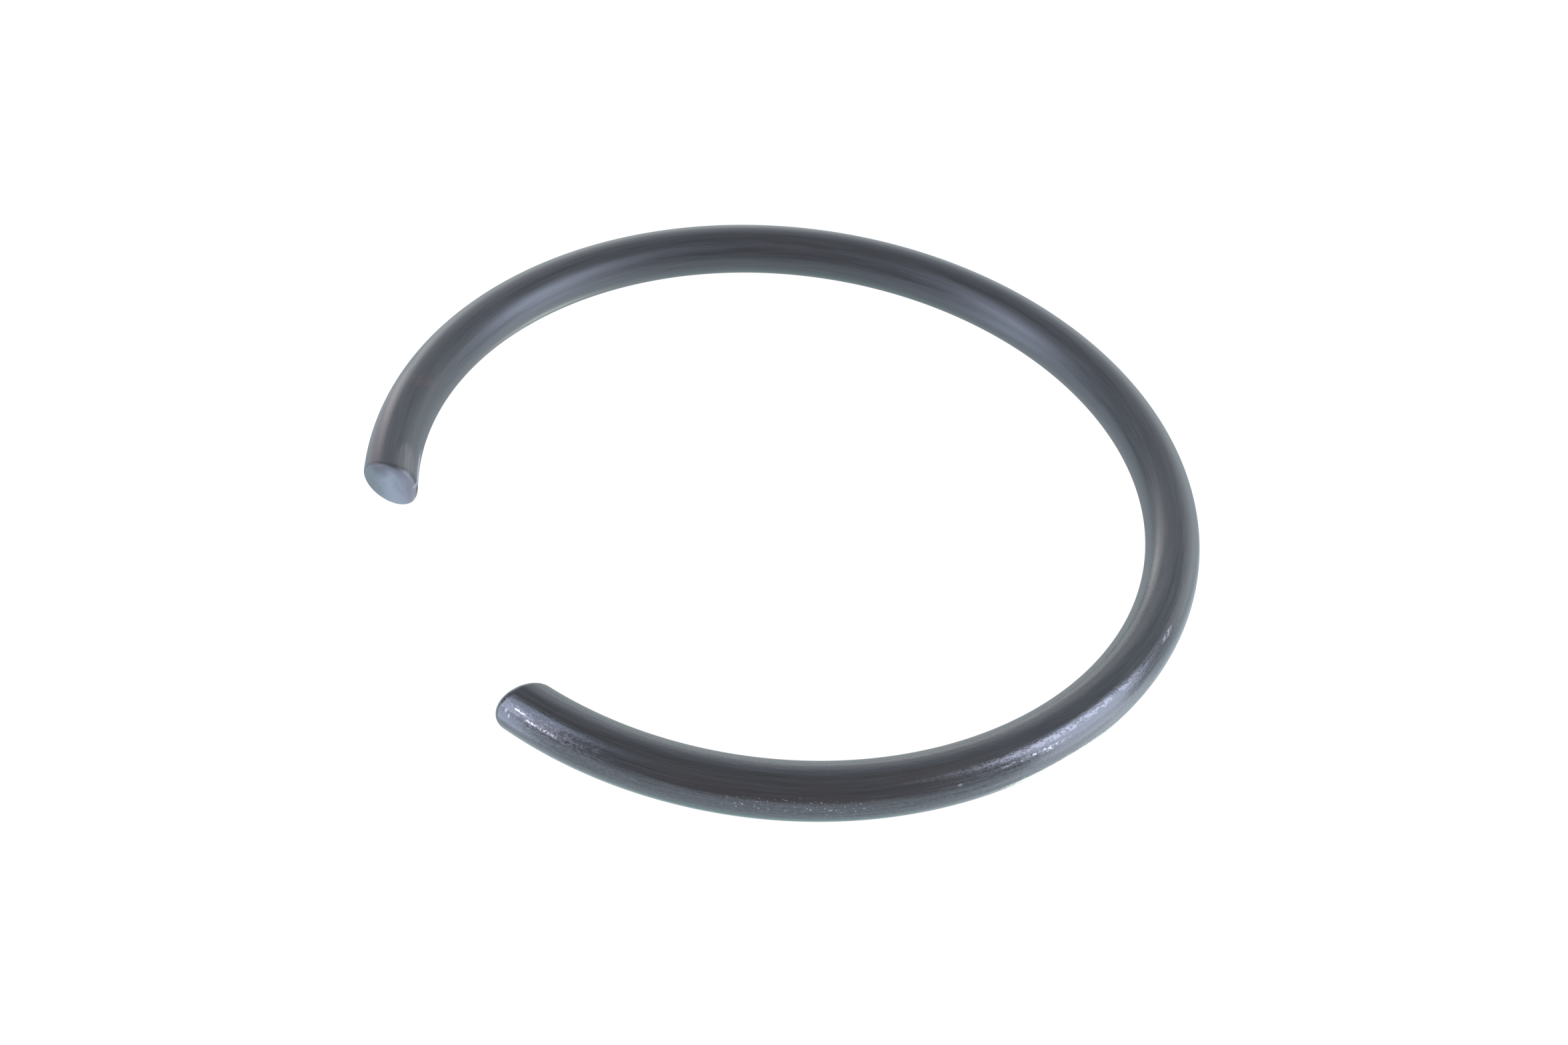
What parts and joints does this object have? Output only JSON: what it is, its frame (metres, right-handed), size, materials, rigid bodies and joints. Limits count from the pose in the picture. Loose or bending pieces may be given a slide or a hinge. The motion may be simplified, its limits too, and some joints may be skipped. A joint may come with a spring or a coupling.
{
  "type": "round wire snap ring",
  "caption": "Open retaining ring bent from round spring wire, with plain slanted ends, that snaps into a groove to hold a pin or bearing in a bore.",
  "frame": {"origin": "on the ring's axis, at half the height of the wire, which is the centre of the groove that the ring sits in", "axes": "+Z along the ring's axis, the ring lies in the XY plane, and the gap between its ends faces -Y"},
  "size_m": [0.0312, 0.0301, 0.002],
  "materials": {
    "blackened_spring_steel": "oiled black oxide over drawn spring wire, satin, with faint draw lines and small scuffs"
  },
  "bodies": {
    "root": {"retaining_ring": "blackened_spring_steel"}
  },
  "joints": []
}
